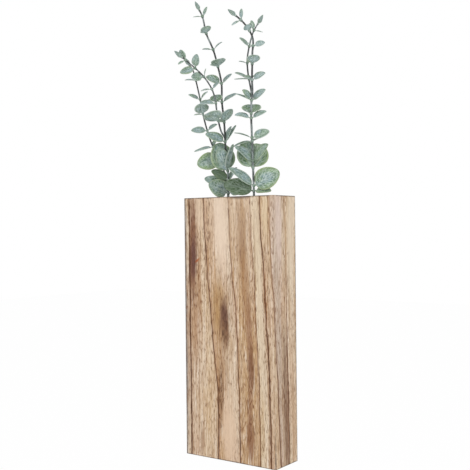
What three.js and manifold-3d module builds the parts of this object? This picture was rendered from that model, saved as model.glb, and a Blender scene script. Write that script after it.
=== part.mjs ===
// Wall vase: a slim wooden pocket of five boards that hangs flat on a wall by a keyhole plate, and two
// removable sprays of artificial silver-dollar eucalyptus that stand in it.
// Millimetres. X is to the right as seen from the room, Y is towards the wall and Z is up.
// The origin is the point where the wall screw bears: the top of the keyhole, on the plane of the wall.

import * as THREE from "three";
import { mergeVertices } from "three/addons/utils/BufferGeometryUtils.js";
import { RoundedBoxGeometry } from "three/addons/geometries/RoundedBoxGeometry.js";
import Module from "manifold-3d";

const wasm = await Module();
wasm.setup();

// The wooden box
const boxWidth = 125;
const boxHeight = 300;
const boxDepth = 45;
const sideBoard = 8; // thickness of the two full-depth sides
const frontBoard = 8;
const backBoard = 8;
const bottomBoard = 8;
const glueLine = 0.1; // gap left at each butt joint
const easedEdge = 0.6; // radius sanded on every arris
const rimAboveHanger = 45;

// The keyhole plate and its screws
const plateLength = 44;
const plateWidth = 16;
const plateThickness = 1.5;
const plateRise = 16; // from the hanging point to the plate's upper end
const plateFit = 0.2; // gap between the plate and its recess
const slotWidth = 4.6;
const entryHole = 9; // lets the wall screw's head in
const entryDrop = 10; // from the slot's top centre down to the entry hole's centre
const headRoom = 4.5; // depth behind the plate for the wall screw's head
const screwInset = 6; // from each end of the plate to its screw
const screwHead = 5.6;
const screwHeadDepth = 1.4;
const screwShank = 2.8;
const screwLength = 7;
const screwPoint = 1.4;
const screwFit = 0.2;
const driveWidth = 0.7; // one arm of the cross recess
const driveSpan = 3;
const driveDepth = 0.9;

// The sprays
const mainStem = 2.7; // diameter below the forks
const branchStem = 2.2;
const stemSides = 6;
const stemStep = 6; // length of each facet along a stem
const footGap = 0.3; // between a stem's foot and the bottom board
const collarFit = 0.35; // gap between a collar and its stem
const collarWall = 0.35;
const collarHeight = 2.2;
const leafThickness = 0.7;
const leafStalk = 1.6; // width of a leaf where it leaves its collar
const leafCup = 0.22; // how far the edges rise, as a share of half the width
const leafArch = 0.03; // how far the middle rises, as a share of the length
const leafTaper = 0.22; // how much broader a leaf is towards its stalk
const leafStalkLength = 1.5;
const leafRowStep = 16; // a leaf gains a row for each such length
const narrowLeaf = 9; // below this width a leaf is only folded along its middle
const budSides = 8;
const budSocket = 3; // depth to which a bud sits over the end of its branch

// Where each spray passes the rim
const leftMouth = { x: -14.5, fromFront: 14.5 };
const rightMouth = { x: 27, fromFront: 6.5 };

const rimZ = rimAboveHanger;
const floorZ = rimZ - boxHeight + bottomBoard; // top of the bottom board
const pocketFrontY = -boxDepth + frontBoard;
const pocketHalfWidth = boxWidth / 2 - sideBoard;

const wood = { color: 0xd8b48c, roughness: 0.7, metalness: 0 };
const zinc = { color: 0xb9bcbe, roughness: 0.35, metalness: 1 };
const stemPlastic = { color: 0x4a4f49, roughness: 0.6, metalness: 0 };
const leafPlastic = { color: 0x87a58f, roughness: 0.65, metalness: 0 };
const budPlastic = { color: 0x6f8579, roughness: 0.65, metalness: 0 };

// A closed three.js geometry as a solid
function solid(geometry) {
  const bare = geometry.clone();
  bare.deleteAttribute("normal");
  bare.deleteAttribute("uv");
  const merged = mergeVertices(bare, 1e-4);
  return new wasm.Manifold(
    new wasm.Mesh({
      numProp: 3,
      vertProperties: new Float32Array(merged.attributes.position.array),
      triVerts: new Uint32Array(merged.index.array),
    }),
  );
}

// A solid as a three.js geometry
function geometryOf(body) {
  const mesh = body.getMesh();
  const geometry = new THREE.BufferGeometry();
  geometry.setAttribute("position", new THREE.BufferAttribute(mesh.vertProperties, 3));
  geometry.setIndex(new THREE.BufferAttribute(mesh.triVerts, 1));
  geometry.computeVertexNormals();
  return geometry;
}

function named(name, geometry, look) {
  const mesh = new THREE.Mesh(geometry, new THREE.MeshStandardMaterial(look));
  mesh.name = name;
  return mesh;
}

// A cylinder along Z from one height to another
function rod(radius, from, to, sides) {
  const geometry = new THREE.CylinderGeometry(radius, radius, to - from, sides);
  return geometry.rotateX(Math.PI / 2).translate(0, 0, (from + to) / 2);
}

// The boards

function board(name, width, depth, height) {
  return named(name, new RoundedBoxGeometry(width, depth, height, 1, easedEdge), wood);
}

function makeSide(name, side) {
  const mesh = board(name, sideBoard, boxDepth, boxHeight);
  mesh.position.set(side * (boxWidth - sideBoard) / 2, -boxDepth / 2, rimZ - boxHeight / 2);
  return mesh;
}

function makeFront() {
  const mesh = board("front_board", 2 * (pocketHalfWidth - glueLine), frontBoard, boxHeight);
  mesh.position.set(0, -boxDepth + frontBoard / 2, rimZ - boxHeight / 2);
  return mesh;
}

function makeBottom() {
  const depth = boxDepth - frontBoard - backBoard - 2 * glueLine;
  const mesh = board("bottom_board", 2 * (pocketHalfWidth - glueLine), depth, bottomBoard);
  mesh.position.set(0, pocketFrontY + glueLine + depth / 2, floorZ - bottomBoard / 2);
  return mesh;
}

// An upright bar with round ends, from the centre of its upper end to that of its lower end.
// In this and the next outlines y is the height.
function barOutline(radius, top, bottom) {
  const shape = new THREE.Shape();
  shape.absarc(0, top, radius, 0, Math.PI, false);
  shape.absarc(0, bottom, radius, Math.PI, 2 * Math.PI, false);
  shape.closePath();
  return shape;
}

// The plate's outline, grown by an even margin
function plateOutline(margin) {
  const end = plateWidth / 2;
  return barOutline(end + margin, plateRise - end, plateRise - plateLength + end);
}

// The keyhole: a round entry below a slot whose round top is centred on the origin
function keyholeOutline() {
  const slot = slotWidth / 2;
  const entry = entryHole / 2;
  const shape = new THREE.Path();
  const meet = Math.asin(slot / entry);
  shape.absarc(0, 0, slot, 0, Math.PI, false);
  shape.absarc(0, -entryDrop, entry, Math.PI / 2 + meet, Math.PI / 2 - meet + 2 * Math.PI, false);
  shape.closePath();
  return shape;
}

// An outline drawn on the wall's plane and cut into the back board to a depth
function wallward(shape, depth) {
  const settings = { depth, bevelEnabled: false, curveSegments: 8 };
  return new THREE.ExtrudeGeometry(shape, settings).rotateX(Math.PI / 2);
}

const screwHeights = [plateRise - screwInset, plateRise - plateLength + screwInset];

function makeBack() {
  const blank = new RoundedBoxGeometry(2 * (pocketHalfWidth - glueLine), backBoard, boxHeight, 1, easedEdge);
  let body = solid(blank.translate(0, -backBoard / 2, rimZ - boxHeight / 2));
  const proud = 1; // each cutter starts this far outside the face
  const cutters = [
    wallward(plateOutline(plateFit), plateThickness + plateFit + proud),
    wallward(barOutline(entryHole / 2 + plateFit, 0, -entryDrop), plateThickness + headRoom + proud),
  ];
  const pilot = screwShank / 2 + screwFit;
  for (const z of screwHeights) {
    const hole = rod(pilot, -proud, screwLength + screwFit, 12).rotateX(Math.PI / 2);
    cutters.push(hole.translate(0, -proud, z));
  }
  for (const cutter of cutters) body = body.subtract(solid(cutter.translate(0, proud, 0)));
  return named("back_board", geometryOf(body), wood);
}

function makePlate() {
  const outline = plateOutline(0);
  outline.holes.push(keyholeOutline());
  let body = solid(wallward(outline, plateThickness));
  for (const z of screwHeights) {
    const wide = screwHead / 2 + screwFit;
    const narrow = screwShank / 2 + screwFit;
    const profile = [
      new THREE.Vector2(0, -2 * plateThickness),
      new THREE.Vector2(narrow, -2 * plateThickness),
      new THREE.Vector2(narrow, -screwHeadDepth),
      new THREE.Vector2(wide, 0),
      new THREE.Vector2(wide, plateThickness),
      new THREE.Vector2(0, plateThickness),
    ];
    const seat = new THREE.LatheGeometry(profile, 16);
    body = body.subtract(solid(seat.translate(0, 0, z)));
  }
  return named("hanger_plate", geometryOf(body), zinc);
}

// A countersunk screw driven towards the room, with a cross recess in its head
function makeScrew(name, z) {
  const profile = [
    new THREE.Vector2(0, -screwLength),
    new THREE.Vector2(screwShank / 2, -screwLength + screwPoint),
    new THREE.Vector2(screwShank / 2, -screwHeadDepth),
    new THREE.Vector2(screwHead / 2, 0),
    new THREE.Vector2(0, 0),
  ];
  let body = solid(new THREE.LatheGeometry(profile, 16));
  for (const turn of [0, Math.PI / 2]) {
    const arm = new THREE.BoxGeometry(driveSpan, 2 * driveDepth, driveWidth).rotateY(turn);
    body = body.subtract(solid(arm));
  }
  const mesh = named(name, geometryOf(body), zinc);
  mesh.position.z = z;
  return mesh;
}

// The sprays. Every height and offset below is counted from the point where the spray's main stem passes
// the rim. A branch starts inside the stem that carries it and rises through its points to its tip.
// A whorl is the set of leaves on one collar: its height on the branch and, for each leaf, the turn about
// the branch in degrees from +X towards +Y, the length, the width, the angle by which it opens upwards from
// square to the branch, and the roll about its own length.

const leftBranches = [
  {
    name: "left_tall",
    points: [
      [0, 0, 0], [-0.5, 0.5, 25], [-2, 0, 45], [-2.5, -1.5, 61], [-5.5, 0.5, 89], [-9.5, 2, 112],
      [-11, 3.5, 134], [-14.5, 1.5, 154], [-19, -1.5, 174], [-25.5, -6, 193], [-29, -8.5, 213],
      [-32.5, -11, 222],
    ],
    whorls: [
      [213, [36, 13, 4.5, 49, 60], [216, 11, 4.5, 14, -8]],
      [193, [318, 12, 13, 30, 0], [120, 11, 13, 40, 0]],
      [174, [36, 14, 8, 22, 5], [216, 13, 8, 20, -5]],
      [154, [322, 15, 18, 22, 0], [135, 13, 15, 32, 0]],
      [134, [30, 17, 10, 36, 35], [222, 20, 15, 30, -50]],
      [112, [30, 20, 12, 24, 35], [216, 17, 9, 12, -5]],
      [88, [340, 20, 18, 35, 12], [150, 14, 12, 30, -20]],
      [65, [42, 24, 8, 54, 30], [16, 20, 10, 66, 50], [212, 25, 15, 26, -50]],
      [31, [258, 30, 17, 70, 40], [174, 37, 28, 72, -45], [352, 33, 17, 66, 20]],
      [20, [198, 24, 14, 34, -42], [40, 19, 14, 56, 20]],
      [14, [196, 31, 14, 18, -58], [70, 15, 12, 30, 0]],
      [5, [232, 26, 22.5, 23, -72], [24, 27, 18, 22, 60]],
    ],
  },
  {
    name: "left_front",
    points: [
      [-3, -1, 69], [-4.6, -6.2, 76], [-4.5, -11.5, 87], [-4.5, -15, 100], [-4, -18.5, 113],
      [-6, -23, 125], [-11, -31.5, 138], [-18, -39, 147.5], [-28.5, -49.5, 159.5],
    ],
    whorls: [
      [155.5, [60, 14, 8, 66, 30], [216, 10, 5, 19, -35]],
      [146.5, [36, 16, 10, 36, 65], [216, 18, 9, 34, -65]],
      [137, [220, 14.5, 11, 42, -62], [36, 10, 6, 35, 5]],
      [123.5, [36, 11, 7, 18, 25], [216, 13, 7, 15, -5]],
      [108, [242, 20, 12, 6, -22], [110, 13, 15, 46, 0]],
      [88, [270, 22, 22, 38, 22], [160, 9, 8, 40, 0]],
    ],
  },
  {
    name: "left_back",
    points: [
      [0, 0, -22], [-3, 3.5, -8], [-7, 7, 12], [-13, 6, 39], [-21, -1, 60], [-25, -6.5, 79],
      [-28, -10.5, 98], [-28.5, -14, 112], [-31.5, -19, 137], [-34.5, -21, 149.5], [-38, -24, 156],
    ],
    whorls: [
      [137, [36, 10, 6, 10, 8], [216, 13, 7, 14, -15]],
      [115, [36, 13, 8, 36, 15], [216, 15, 8, 34, -30]],
      [98, [306, 16, 17, 55, 0], [206, 11, 6, 5, -10]],
      [79, [40, 14, 8, 18, 30], [212, 19, 10, 18, -50]],
      [60, [211, 23, 10, 7, -18], [80, 12, 9, 40, 0]],
      [46, [216, 27, 21, 14, -75], [60, 14, 12, 40, 0]],
    ],
  },
];

const rightBranches = [
  {
    name: "right_left",
    points: [
      [0, 0, 0], [-0.5, -0.5, 33], [-1.5, -0.5, 66], [-2, -1, 90], [-1.5, -1, 106], [1, -2.5, 117],
      [2, -4.5, 129], [2.5, -4.5, 148], [2.5, -4, 160], [3, -3, 172], [2, -3.5, 179], [-2, -7.5, 189],
      [-8, -12, 197.5], [-13.5, -15.5, 203],
    ],
    whorls: [
      [197, [36, 13, 5, 44, 60], [216, 12, 5, 13, -40]],
      [185, [290, 9, 9, 62, 0], [60, 10, 8, 50, 20]],
      [168, [36, 14, 9, 22, 58], [216, 8, 6, 22, -20]],
      [148, [320, 14, 15, 34, 0], [120, 12, 14, 45, 0]],
      [130, [36, 17, 11, 30, 42], [180, 11, 8, 30, -20]],
      [108, [36, 20, 11, 46, 38], [228, 16, 11, 46, -45], [204, 20, 7, 14, -10]],
      [93, [120, 17, 22, 50, 0], [200, 10, 8, 30, 0]],
      [88, [36, 19, 12, 23, 32], [216, 19, 12, 14, -32]],
      [66, [36, 21, 12, 20, 60], [216, 21, 10, 17, -8]],
      [62, [216, 23, 8, -16, -20], [80, 10, 8, 20, 0]],
      [40, [14, 26, 18, 44, 54], [236, 26, 16, 40, -50]],
      [32, [96, 34, 27, 60, 30], [168, 34, 27, 70, -40]],
      [12, [30, 33, 26, 27, 72], [226, 35, 19, 35, -38]],
      [6, [12, 21, 12, -3, 40], [200, 36, 21, 15, -62]],
    ],
  },
  {
    name: "right_back",
    points: [
      [-0.8, -1.2, 112], [-3.5, 1, 121], [-7, 3, 131], [-8.5, 2.5, 142], [-8.8, 2, 154], [-8, 3, 164],
      [-6, 4.5, 175], [-3, 6.5, 186.5], [2.5, 9.5, 197],
    ],
    whorls: [
      [188, [36, 10, 5, 12, 5], [216, 12, 6, 50, -60]],
      [170, [36, 8, 5, 20, 10], [216, 15, 6.5, 30, -45]],
      [151, [60, 10, 8, 30, 0], [216, 10, 6, 12, -5]],
      [133, [216, 18, 12, 34, -28], [206, 17, 6, 8, -8], [60, 10, 8, 20, 0]],
    ],
  },
];

const degrees = Math.PI / 180;

function curveOf(points, mouth) {
  const placed = points.map(([x, y, z]) => new THREE.Vector3(x, y, z).add(mouth));
  return new THREE.CatmullRomCurve3(placed, false, "centripetal");
}

// The share of a curve's length at which it reaches a height
function shareAt(curve, z) {
  let low = 0;
  let high = 1;
  for (let step = 0; step < 30; step += 1) {
    const middle = (low + high) / 2;
    if (curve.getPointAt(middle).z < z) low = middle;
    else high = middle;
  }
  return (low + high) / 2;
}

// A round stem of even thickness along a curve, with a step for every few millimetres
function tube(curve, diameter) {
  const section = new THREE.Shape();
  for (let side = 0; side < stemSides; side += 1) {
    const angle = (2 * Math.PI * side) / stemSides;
    const x = (Math.cos(angle) * diameter) / 2;
    const y = (Math.sin(angle) * diameter) / 2;
    if (side === 0) section.moveTo(x, y);
    else section.lineTo(x, y);
  }
  section.closePath();
  const steps = Math.round(curve.getLength() / stemStep);
  return new THREE.ExtrudeGeometry(section, { steps, extrudePath: curve, bevelEnabled: false });
}

// One leaf on a short stalk, a thin cupped lens that lies along +X with its upper face towards +Z.
// Its rows run from the stalk to the tip, and long or wide leaves get more rows and columns.
function leafBlade(length, width) {
  const rows = Math.round(4 + length / leafRowStep);
  const columns = width < narrowLeaf ? 2 : 4;
  const triangles = [];
  const point = (row, column, face) => {
    const tip = row === rows;
    const sweep = (Math.PI * Math.max(0, row - 0.6)) / (rows - 0.6);
    const share = (1 - Math.cos(sweep)) / 2;
    const across = (2 * column) / columns - 1;
    const outline = (width / 2) * Math.sin(sweep) * (1 + leafTaper * Math.cos(sweep));
    const half = tip ? 0 : Math.max(leafStalk / 2, outline);
    const thick = tip ? 0 : ((1 - across * across) * leafThickness) / 2;
    const lift = leafArch * length * 4 * share * (1 - share) + leafCup * half * across * across;
    const along = row === 0 ? 0 : leafStalkLength + (length - leafStalkLength) * share;
    return new THREE.Vector3(along, half * across, lift + face * thick);
  };
  const add = (a, b, c) => {
    const flat = a.distanceTo(b) < 1e-6 || b.distanceTo(c) < 1e-6 || c.distanceTo(a) < 1e-6;
    if (!flat) triangles.push(a, b, c);
  };
  const addFour = (a, b, c, d) => {
    add(a, b, c);
    add(a, c, d);
  };
  for (let column = 0; column < columns; column += 1) {
    const next = column + 1;
    for (let row = 0; row < rows; row += 1) {
      const ahead = row + 1;
      addFour(point(row, column, 1), point(ahead, column, 1), point(ahead, next, 1), point(row, next, 1));
      addFour(point(row, next, -1), point(ahead, next, -1), point(ahead, column, -1), point(row, column, -1));
    }
    addFour(point(0, column, 1), point(0, next, 1), point(0, next, -1), point(0, column, -1));
  }
  return new THREE.BufferGeometry().setFromPoints(triangles);
}

// The leaves of one whorl on a collar that is threaded on the stem, which runs along +Z.
// Each leaf is turned about the stem by its own angle, counted from the first leaf's.
function whorlGeometry(leaves, stemDiameter) {
  const bore = stemDiameter / 2 + collarFit;
  const reach = 2 * collarHeight;
  const firstTurn = leaves[0][0];
  let body = solid(rod(bore + collarWall, -collarHeight / 2, collarHeight / 2, stemSides));
  for (const [turn, length, width, opening, roll] of leaves) {
    const blade = leafBlade(length - bore, width);
    blade.rotateX(roll * degrees).rotateY(-opening * degrees);
    blade.translate(bore, 0, 0).rotateZ((turn - firstTurn) * degrees);
    body = body.add(solid(blade));
  }
  body = body.subtract(solid(rod(bore, -reach, reach, stemSides)));
  return geometryOf(largest(body));
}

// Of a cut solid the piece that counts: a crumb left in a bore falls away
function largest(body) {
  const pieces = body.decompose();
  pieces.sort((a, b) => b.volume() - a.volume());
  return pieces[0];
}

// A closed bud, pointed like a brush, with a socket that takes the end of its branch
function budGeometry(stemDiameter) {
  const bore = stemDiameter / 2 + collarFit;
  const profile = [
    [0, 0], [bore + collarWall, 0], [2.1, 3.5], [1.9, 6], [1.1, 9], [0, 12],
  ].map(([x, y]) => new THREE.Vector2(x, y));
  const body = solid(new THREE.LatheGeometry(profile, budSides).rotateX(Math.PI / 2));
  const socket = rod(bore, -1, budSocket, stemSides);
  return geometryOf(body.subtract(solid(socket)));
}

// Turns a piece so that its Z follows the stem and its X points to a compass angle about it
function seatOnStem(mesh, curve, share, turn) {
  const up = curve.getTangentAt(share).normalize();
  const side = new THREE.Vector3(Math.cos(turn * degrees), Math.sin(turn * degrees), 0);
  side.addScaledVector(up, -side.dot(up)).normalize();
  const third = new THREE.Vector3().crossVectors(up, side);
  mesh.quaternion.setFromRotationMatrix(new THREE.Matrix4().makeBasis(side, third, up));
  mesh.position.copy(curve.getPointAt(share));
}

function makeSpray(name, mouthPlace, branches) {
  const spray = new THREE.Group();
  const mouth = new THREE.Vector3(mouthPlace.x, pocketFrontY + mouthPlace.fromFront, rimZ);
  const foot = floorZ + footGap - rimZ;
  let stem = null;
  branches.forEach((branch, order) => {
    const points = order === 0 ? [[0, 0, foot], ...branch.points] : branch.points;
    const curve = curveOf(points, mouth);
    const thick = order === 0 ? mainStem : branchStem;
    const piece = solid(tube(curve, thick));
    stem = stem ? stem.add(piece) : piece;
    branch.whorls.forEach(([height, ...leaves], index) => {
      const number = String(index + 1).padStart(2, "0");
      const whorl = named(`${branch.name}_leaves_${number}`, whorlGeometry(leaves, thick), leafPlastic);
      seatOnStem(whorl, curve, shareAt(curve, mouth.z + height), leaves[0][0]);
      spray.add(whorl);
    });
    const bud = named(`${branch.name}_bud`, budGeometry(thick), budPlastic);
    seatOnStem(bud, curve, 1, 0);
    bud.translateZ(-budSocket + collarFit);
    spray.add(bud);
  });
  spray.add(named(`${name}_stem`, geometryOf(stem), stemPlastic));
  return spray;
}

const wallVase = new THREE.Group();
wallVase.add(makeSide("left_side_board", -1), makeSide("right_side_board", 1));
wallVase.add(makeFront(), makeBack(), makeBottom());
wallVase.add(makePlate());
wallVase.add(makeScrew("upper_hanger_screw", screwHeights[0]));
wallVase.add(makeScrew("lower_hanger_screw", screwHeights[1]));
wallVase.add(makeSpray("left_spray", leftMouth, leftBranches));
wallVase.add(makeSpray("right_spray", rightMouth, rightBranches));

export default wallVase;
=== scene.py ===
# The looks of a slim wooden wall vase and the two sprays of artificial silver-dollar eucalyptus in it.
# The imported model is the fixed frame, in metres: X to the right, Y into the wall, Z up, with the origin
# where the wall screw bears. Sizes below are in millimetres, and MM turns them to metres.

import math
import random
from functools import partial

import bmesh
import bpy
from mathutils import Matrix, Vector


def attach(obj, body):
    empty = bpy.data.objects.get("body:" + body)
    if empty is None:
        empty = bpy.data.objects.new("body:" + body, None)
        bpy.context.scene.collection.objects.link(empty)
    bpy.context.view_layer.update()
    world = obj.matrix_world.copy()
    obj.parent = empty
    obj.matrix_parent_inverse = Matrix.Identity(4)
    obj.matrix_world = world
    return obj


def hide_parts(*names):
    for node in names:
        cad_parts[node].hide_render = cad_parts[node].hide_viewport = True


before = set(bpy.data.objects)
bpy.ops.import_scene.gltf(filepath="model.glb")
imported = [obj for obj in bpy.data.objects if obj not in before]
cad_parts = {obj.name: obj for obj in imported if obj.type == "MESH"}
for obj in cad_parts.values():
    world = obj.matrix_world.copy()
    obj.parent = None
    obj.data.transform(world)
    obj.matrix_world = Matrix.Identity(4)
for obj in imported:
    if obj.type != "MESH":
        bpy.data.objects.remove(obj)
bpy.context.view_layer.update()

MM = 0.001


def linear(hex_colour):
    """An sRGB colour such as "d8b48c" as linear red, green, blue and alpha."""
    parts = [int(hex_colour[i : i + 2], 16) / 255 for i in (0, 2, 4)]
    flat = [c / 12.92 if c <= 0.04045 else ((c + 0.055) / 1.055) ** 2.4 for c in parts]
    return (*flat, 1.0)


def put(tree, kind, inputs=(), **settings):
    """Adds a node. Its inputs come in order, or by number or name: None leaves one as it is, a node
    stands for its first output, a socket is linked, and hex text is a colour."""
    made = tree.nodes.new("ShaderNode" + kind)
    for key, value in settings.items():
        setattr(made, key, value)
    for key, value in inputs.items() if isinstance(inputs, dict) else enumerate(inputs):
        if isinstance(value, bpy.types.Node):
            value = next(socket for socket in value.outputs if socket.enabled)
        if isinstance(value, bpy.types.NodeSocket):
            tree.links.new(value, made.inputs[key])
        elif value is not None:
            made.inputs[key].default_value = linear(value) if isinstance(value, str) else value
    return made


def new_material(name):
    """A material with an empty node tree, and put tied to that tree."""
    material = bpy.data.materials.new(name)
    material.use_nodes = True
    material.node_tree.nodes.clear()
    return material, partial(put, material.node_tree)


def dressed(piece, material):
    """Gives a piece its one material."""
    piece.data.materials.clear()
    piece.data.materials.append(material)
    return piece


# The boards are paulownia, torched, brushed and left bare. The flame burns the hard late-wood rings and
# the outer arrises, and the pale soft wood between them stays cream, with a silky fibre and short dark
# pores. The brushing leaves it matt. Real pores are about 0.3 mm wide. They are drawn three times as wide, so
# that they show.

# Marks in the grain: the size of one across, through and along the grain, its detail and its waviness
GRAIN_MARKS = {
    "bands": ((9, 30, 230), 2.0, 0.0),
    "tints": ((17, 30, 120), 1.0, 0.0),
    "streaks": ((2.4, 20, 70), 3.0, 0.4),
    "silk": ((1.3, 9, 30), 3.0, 0.5),
    "pores": ((1.0, 6, 7), 2.0, 0.6),
    "wander": ((26, 26, 42), 2.0, 0.0),
    "fray": ((2.0, 9, 14), 2.0, 0.0),
}

# What the broad marks do to the colour: from where to where they set in, how strongly, and their tone
BROAD_TONES = [
    ("bands", 0.42, 0.64, 0.4, "e2d1bd"),
    ("tints", 0.5, 0.72, 0.45, "cfae92"),
    ("tints", 0.46, 0.28, 0.4, "c09b6c"),
    ("streaks", 0.52, 0.7, 0.45, "9a724b"),
    ("streaks", 0.46, 0.3, 0.35, "e6d5c0"),
    ("silk", 0.46, 0.33, 0.5, "efe2d2"),
    ("pores", 0.44, 0.32, 0.4, "e9d9c5"),
]

# The same for the fine dark marks, which lie over the stains as well
FINE_TONES = [
    ("silk", 0.51, 0.66, 0.46, "8a623e"),
    ("pores", 0.53, 0.65, 0.68, "764c2e"),
]

# The growth rings on the front and the right side, which are unrolled to one flat surface, 0 at the middle
# of the front. Each burnt line runs through (height, place across). Then come the reach of its brown shade
# to the left, its own width, the reach of the shade to the right, its strength at the top and at the foot,
# and the tone of the early wood that starts at its right.
RINGS = [
    ([(45, -55.6), (-100, -54.9), (-255, -54.6)], 0.8, 1.0, 2.5, 0.75, 0.95, "cbae90"),
    ([(45, -43.5), (-60, -41.8), (-150, -42), (-255, -44.5)], 2, 0.5, 1, 0.5, 0.3, "d6bd9e"),
    ([(45, -38.5), (-60, -39.4), (-130, -38.6), (-255, -37)], 1.5, 0.5, 1.5, 0.5, 0.2, "d4ba9a"),
    ([(45, -34), (-12, -31.6), (-45, -28.6), (-99, -23.8), (-161, -17.1), (-194, -14.8), (-255, -16)],
     1.5, 0.8, 4, 0.8, 0.85, "c9a682"),
    ([(45, -19), (-30, -18), (-70, -15), (-120, -9), (-180, -3), (-255, 2)], 3, 0.4, 1, 0.2, 0.2, "d4bb9f"),
    ([(45, 1.8), (0, 3.4), (-45, 6.2), (-97, 11.5), (-158, 13.3), (-190, 14.9), (-255, 14.8)],
     1.5, 0.7, 3, 0.6, 0.9, "c4a27a"),
    ([(45, 30.5), (-12, 33.2), (-65, 37), (-103, 38.7), (-145, 40.8), (-198, 42), (-255, 43.2)],
     4, 0.6, 0.8, 0.55, 0.8, "d8c4a4"),
    ([(45, 43.6), (0, 45.7), (-43, 49.5), (-85, 51.5), (-128, 54.2), (-185, 55.5), (-255, 57.2)],
     4, 0.9, 1.5, 0.75, 0.95, "cbad89"),
    ([(45, 50), (-45, 54), (-120, 58.5), (-255, 61)], 2, 0.4, 1, 0.3, 0.3, "ceb393"),
    ([(45, 55.9), (-4, 57.7), (-42, 59.9), (-102, 63.8), (-154, 67.3), (-218, 70.9), (-255, 74.3)],
     2, 0.9, 1.5, 0.4, 0.95, "ccb6a3"),
    ([(45, 79), (-30, 77.5), (-100, 77), (-255, 78)], 1, 0.4, 3, 0.2, 0.4, "cdb69a"),
    ([(45, 85.7), (-60, 87), (-205, 89.5), (-255, 89.4)], 2, 1.2, 0.5, 0.2, 1.0, "d6c2a4"),
    ([(45, 97), (-100, 99), (-255, 98)], 3, 0.6, 1, 0.1, 0.3, "cfb797"),
]

# Plainer rings for the faces that a wall or the other boards hide
HIDDEN_RINGS = [
    ([(45, start), (-90, start + 5), (-170, start + 4), (-255, start + 9)], 4, 0.8, 1.5, 0.7, 0.7, tone)
    for start, tone in zip(
        (-104, -88, -73, -52, -31, -12, 9, 24, 43, 60, 79),
        ("cbb296", "bb9b77", "d2bda4", "c5aa8a", "c2a381", "d4c1a6") * 2,
    )
]

# Stains, and a painted shadow of the leaves along the top edge: the middle across and in height, half the
# width and half the height, the lean in degrees, the tone and the strength
STAINS_AND_SHADOW = [
    ((-57.5, -140), (4, 120), 0, "b0917a", 0.5),
    ((-63, -105), (5, 330), 0, "6c6664", 0.85),
    ((-47, -95), (6, 75), 0, "a9805c", 0.65),
    ((-50.5, -14), (8, 84), 1, "7a4b33", 0.85),
    ((-50, -26), (7, 34), 0, "63413d", 0.75),
    ((-43.8, -27.5), (2, 6), 50, "a4552a", 0.9),
    ((-41, -50), (3, 60), 0, "ad835b", 0.6),
    ((-27, 5), (7, 75), 2, "b8946e", 0.35),
    ((-38, -236), (5, 24), 0, "9d7b60", 0.6),
    ((19.5, 2), (11, 62), -1.5, "9c744c", 0.65),
    ((20, -12), (6, 44), -1.5, "8d643f", 0.4),
    ((24.5, -62), (8, 60), -3.5, "a57c55", 0.7),
    ((29, -115), (6, 60), -2, "94694a", 0.7),
    ((31, -148), (6, 36), 0, "7a523c", 0.75),
    ((29, -192), (5, 50), 0, "966a4a", 0.65),
    ((29.5, -228), (8, 34), 0, "85583c", 0.75),
    ((-13, -82), (17, 46), 2, "b08a58", 0.75),
    ((-5.5, -97), (9.5, 38), -2, "6b473b", 0.95),
    ((-4.5, -108), (6, 24), -2.5, "6b473b", 0.85),
    ((-8, -132), (13, 50), 0, "a98660", 0.55),
    ((-11.5, -185), (6, 50), 0.5, "84603f", 0.65),
    ((46, -205), (4, 55), 0, "bd9c76", 0.5),
    ((51, -65), (3, 55), -2.5, "a8754a", 0.6),
    ((71, -120), (9, 170), -1.5, "b8a795", 0.55),
    ((83.5, -190), (7.5, 125), -0.5, "8c6f58", 0.8),
    ((86, -215), (4, 65), 0, "7a5a44", 0.6),
    ((81, -157), (2, 14), 1, "5e4231", 0.8),
    ((98, -185), (10, 115), 0, "c2a383", 0.5),
    ((107, -105), (2.5, 230), 0, "8d857f", 0.5),
    # The torched top arris under the hanging leaves, darkened further with a painted shadow of the leaves
    ((17, 45), (24, 4.5), 0, "3d2c22", 0.9),
]

# Where the pores are wide and stand dark, in short dashes
DASHES = [
    ((-29, -5), (5, 70), 3, "6b452b", 0.75),
    ((-5.5, -98), (8, 38), -2, "40281f", 0.7),
    ((-11.5, -185), (5, 55), 0.5, "573620", 0.95),
    ((-40, -75), (7, 100), 0, "8a5f3c", 0.5),
    ((18, -190), (12, 90), -1, "8a6240", 0.55),
    ((34, -70), (5, 70), -3, "83532f", 0.6),
    ((30, -185), (7, 90), 0, "6d4429", 0.7),
    ((-49, -20), (8, 90), 0, "55332a", 0.6),
    ((52, -100), (5, 110), -2.5, "7e5230", 0.6),
    ((84, -170), (8, 110), 0, "6b4c37", 0.6),
]

# Pale patches, where the fine marks hardly show
PALE_PATCHES = [
    ((-41, 34), (7, 34), 0, "e2cbb0", 0.6),
    ((51, 28), (5, 42), -2, "e0caa8", 0.65),
    ((-10, 10), (13, 70), -1.5, "e6d0ba", 0.8),
    ((0, -222), (13, 56), 0, "dcc0a5", 0.8),
    ((43, -60), (5, 160), -1.9, "dac6ac", 0.65),
    ((72, 10), (9, 62), -1.2, "d5c1b4", 0.7),
    ((97, 5), (11, 90), 0, "dbc9b2", 0.7),
    ((5, 25), (60, 70), 0, "ecd8c2", 0.16),
]

RING_FROM = -110  # where the curves that draw the rings begin, across the grain, and how far they reach
RING_SPAN = 220
RING_START = 0.7  # over how far to each side of a ring's line the early wood sets in
SHADE_SPAN = 12  # how far the curve that gives a ring its cross section reaches to each side
BOX_LOW = (-62.5, -45, -255)
BOX_HIGH = (62.5, 0, 45)
BARE_WOOD = "bfb0a0"  # left of the first ring


def drawn(curve_node, points, handles):
    """Lays a curve node's line through points between 0 and 1."""
    line = curve_node.mapping.curves[0]
    line.points[0].location = points[0]
    line.points[-1].location = points[-1]
    for point in points[1:-1]:
        line.points.new(*point)
    for point in line.points:
        point.handle_type = handles
    curve_node.mapping.update()


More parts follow.
